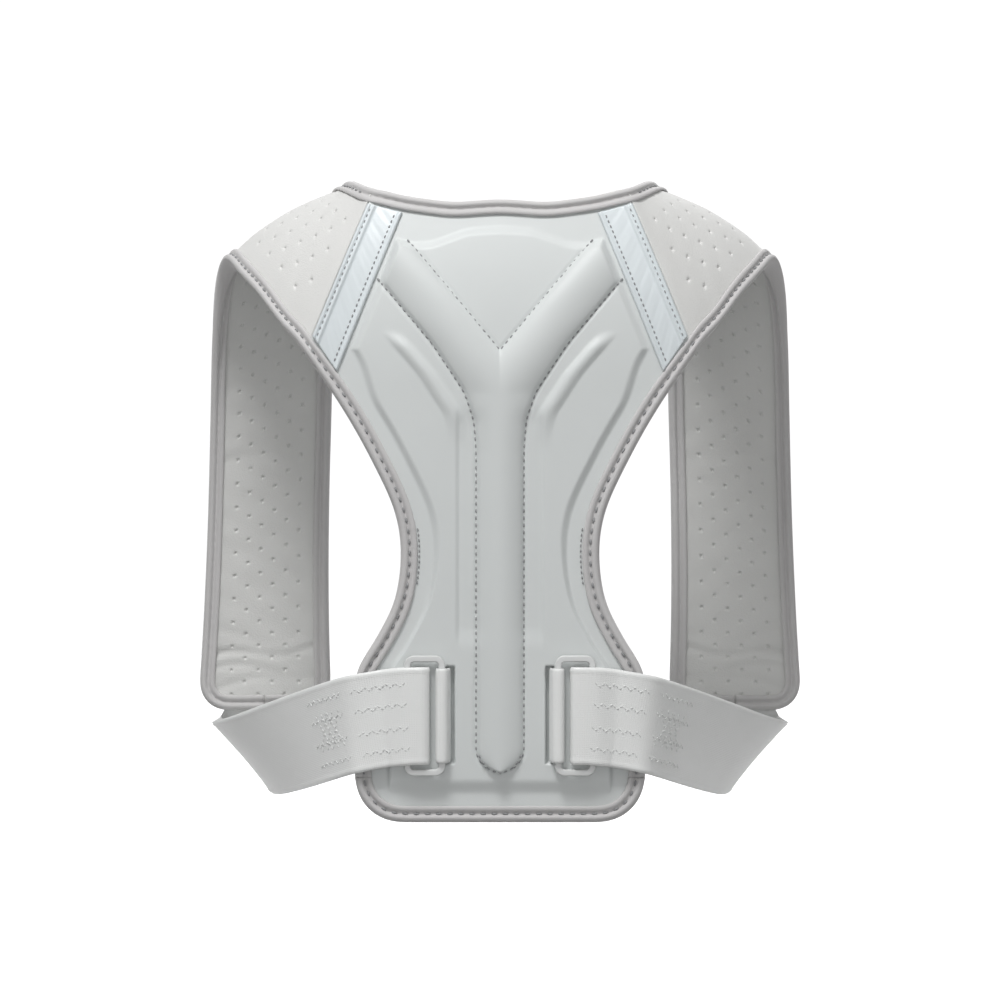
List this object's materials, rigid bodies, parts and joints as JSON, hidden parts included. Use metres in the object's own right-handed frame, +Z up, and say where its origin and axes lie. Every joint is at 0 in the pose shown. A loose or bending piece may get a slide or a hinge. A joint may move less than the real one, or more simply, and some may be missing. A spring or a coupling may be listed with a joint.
{
  "type": "posture corrector",
  "caption": "Worn posture corrector: padded back panel, two shoulder straps, and webbing straps that pass round the ribs to rings on the panel.",
  "frame": {"origin": "midway between the wearer's shoulders, at the height and depth where the two shoulder straps rest on them", "axes": "+Z up, +Y from the back panel towards the wearer's chest, +X towards the wearer's right"},
  "size_m": [0.3452, 0.1897, 0.3365],
  "materials": {
    "shell": "smooth pale blue-grey stretch fabric moulded over foam",
    "pad": "matt light grey perforated spacer fabric over foam",
    "tape": "soft folded stretch tape, stitched",
    "strip": "satin silvery tape",
    "webbing": "pale grey woven webbing with a satin sheen",
    "plastic": "satin moulded plastic"
  },
  "bodies": {
    "root": {"back_panel": "shell", "neck_binding": "tape", "hem_binding": "tape", "arm_binding_left": "tape", "arm_binding_right": "tape", "shoulder_strap_left": "pad", "shoulder_strap_right": "pad", "shiny_strip_left": "strip", "shiny_strip_right": "strip", "strap_ring_left": "plastic", "strap_ring_right": "plastic", "ring_loop_left": "webbing", "ring_loop_right": "webbing", "webbing_left": "webbing", "webbing_right": "webbing"}
  },
  "joints": []
}
